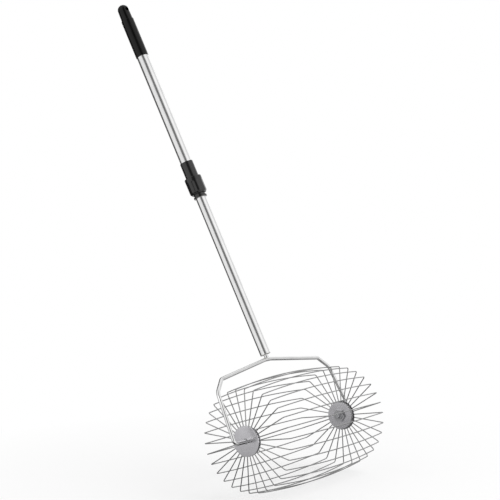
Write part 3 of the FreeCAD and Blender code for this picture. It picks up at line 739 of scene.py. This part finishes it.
def hang_flag():
    """Black flag behind the pole on the left: an upright strip bent round the pole's middle. Only mirrors
    see it, so it leaves the background white and throws no shadow."""
    angle = np.linspace(FLAG_START, FLAG_END, FLAG_STEPS)[:, None]
    back, right = (np.array(direction) for direction in level_axes())
    foot = under_pole() + FLAG_DISTANCE * (np.cos(angle) * back + np.sin(angle) * right)
    top = foot + np.array([0, 0, FLAG_HEIGHT])
    index = np.arange(FLAG_STEPS - 1)
    faces = np.stack([index, index + 1, index + 1 + FLAG_STEPS, index + FLAG_STEPS], axis=-1)
    mirrored_card("studio_flag", np.concatenate([foot, top]), faces.tolist(), FLAG_LEVEL)


def set_hub_cards():
    """A white card out from the left hub and above it, and a dark one on the floor below: they give the axle
    stub its bright top and dark underside."""
    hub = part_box("left_outer_disc")[0][0]
    side = np.array([CARD_FRONT, CARD_BACK, CARD_BACK, CARD_FRONT])
    rise = AXLE[2] + np.array([CARD_LOW, CARD_LOW, CARD_HIGH, CARD_HIGH])
    white = np.stack([np.full_like(side, hub - CARD_LEFT), side, rise], axis=-1)
    mirrored_card("studio_white_card", white, ONE_QUAD, WHITE_CARD_LEVEL)
    out = hub - np.array([DARK_CARD_NEAR, DARK_CARD_NEAR, DARK_CARD_FAR, DARK_CARD_FAR])
    side = np.array([-1, 1, 1, -1]) * DARK_CARD_HALF_WIDTH
    dark = np.stack([out, side, np.full_like(side, DARK_CARD_HEIGHT)], axis=-1)
    mirrored_card("studio_dark_card", dark, ONE_QUAD, DARK_CARD_LEVEL)


# Light all round

# Angle round the pole from the camera towards its right, in degrees, and the brightness there.
STUDIO_LEVELS = (
    (-180, 0.10), (-106, 0.50), (-92, 0.78), (-60, 0.92), (-16, 0.86), (-3, 0.16), (27, 0.14), (42, 0.93),
    (64, 1.05), (84, 0.95), (108, 0.70), (124, 0.74), (137, 1.15), (154, 1.15), (168, 0.62), (180, 1.00),
)
PLAIN_WHITE = (1, 1, 1, 1)
STRIPE_TILT = 1.0
STRIPE_PIVOT = 0.287
STRIPE_REACH = 1.5


def tilted(tree, direction, angle):
    """The angle with the dark stripe beside the camera leaning: it gains the tilt times how far the
    direction falls short of the pivot along the pole, times a cosine that is nought well away from the
    stripe."""
    along = vector_math(tree, "DOT_PRODUCT", "Value", direction, Vector(POLE))
    short = number_math(tree, "SUBTRACT", STRIPE_PIVOT, along)
    lean = number_math(tree, "MULTIPLY", short, STRIPE_TILT)
    wave = number_math(tree, "COSINE", number_math(tree, "MULTIPLY", angle, STRIPE_REACH))
    weight = number_math(tree, "MAXIMUM", wave, 0.0)
    return number_math(tree, "MULTIPLY_ADD", lean, weight, angle)


def studio_ramp(tree, share):
    """The studio's brightness at a share of the whole turn round the pole."""
    ramp = add_node(tree, "ShaderNodeValToRGB", Fac=share)
    stops = ramp.color_ramp.elements
    for degrees, _ in STUDIO_LEVELS[1:-1]:
        stops.new((degrees + 180) / 360)
    for stop, (_, level) in zip(stops, STUDIO_LEVELS):
        stop.color = (*grey(level), 1)
    return ramp.outputs[0]


def world_light():
    """Soft studio round the object: its brightness follows the angle round the pole's axis, with a dark
    stripe beside the camera and a dark side behind on the left. The camera itself sees plain white."""
    world = bpy.data.worlds.new("studio")
    bpy.context.scene.world = world
    world.use_nodes = True
    tree = world.node_tree
    background = tree.nodes["Background"]
    direction = add_node(tree, "ShaderNodeTexCoord").outputs["Generated"]
    angle = tilted(tree, direction, turn_about(tree, direction, *pole_axes()))
    level = studio_ramp(tree, between(tree, angle, 0.0, 1.0, -math.pi, math.pi))
    camera_ray = add_node(tree, "ShaderNodeLightPath").outputs["Is Camera Ray"]
    mixed = add_node(tree, "ShaderNodeMix", {"data_type": "RGBA"}, Factor=camera_ray,
                     i6=level, i7=PLAIN_WHITE).outputs[2]
    tree.links.new(mixed, background.inputs["Color"])
    background.inputs["Strength"].default_value = 1.0


# Floor

FLOOR_SIZE = 40.0
FLOOR_WHITE = 0.95
FLOOR_GLOW = 0.55
SHADOW_REACH = (0.35, 1.0)
MIRROR_REACH = (0.45, 1.6)
MIRROR_DARK = 0.30
MIRROR_LIGHT = 0.9


def floor_in_view(tree, distance, camera_ray):
    """Pale matt floor that keeps the shadow near the object and turns into plain white further out."""
    fade = between(tree, distance, FLOOR_GLOW, 1.0, *SHADOW_REACH)
    seen = number_math(tree, "MULTIPLY", fade, camera_ray)
    matt = add_node(tree, "ShaderNodeBsdfDiffuse", Color=(*grey(FLOOR_WHITE), 1)).outputs[0]
    white = add_node(tree, "ShaderNodeEmission", Strength=1.0).outputs[0]
    return add_node(tree, "ShaderNodeMixShader", i0=seen, i1=matt, i2=white).outputs[0]


def floor_in_mirrors(tree, distance, place):
    """The floor as polished metal sees it: darker close to the object, and dark towards the flag."""
    level = between(tree, distance, MIRROR_DARK, MIRROR_LIGHT, *MIRROR_REACH)
    spot = vector_math(tree, "SUBTRACT", "Vector", place, Vector(under_pole()))
    angle = turn_about(tree, spot, *level_axes())
    flagged = between(tree, angle, FLAG_LEVEL, 1.0, FLAG_START - FLAG_EDGE, FLAG_START + FLAG_EDGE)
    shaded = number_math(tree, "MULTIPLY", level, flagged)
    return add_node(tree, "ShaderNodeEmission", Strength=shaded).outputs[0]


def lay_floor():
    """One wide floor, with a look of its own in reflections."""
    half = FLOOR_SIZE / 2
    corners = np.array([(-half, -half, 0), (half, -half, 0), (half, half, 0), (-half, half, 0)])
    floor = mesh_object("studio_floor", corners, ONE_QUAD)
    material, tree, shader = new_material("studio_floor")
    tree.nodes.remove(shader)
    place = add_node(tree, "ShaderNodeTexCoord").outputs["Object"]
    distance = vector_math(tree, "LENGTH", "Value", place)
    path = add_node(tree, "ShaderNodeLightPath")
    lit = floor_in_view(tree, distance, path.outputs["Is Camera Ray"])
    mirrored = floor_in_mirrors(tree, distance, place)
    both = add_node(tree, "ShaderNodeMixShader", i0=path.outputs["Is Glossy Ray"], i1=lit, i2=mirrored)
    tree.links.new(both.outputs[0], tree.nodes["Material Output"].inputs["Surface"])
    floor.data.materials.append(material)


# The scene

bpy.context.scene.view_settings.view_transform = "Standard"
place_camera()
hang_key()
hang_flag()
set_hub_cards()
world_light()
lay_floor()
new_pieces = [make_grip_sleeve(), make_grip_end(), make_lock_nut(), make_stem_weld()]
dress(new_pieces)
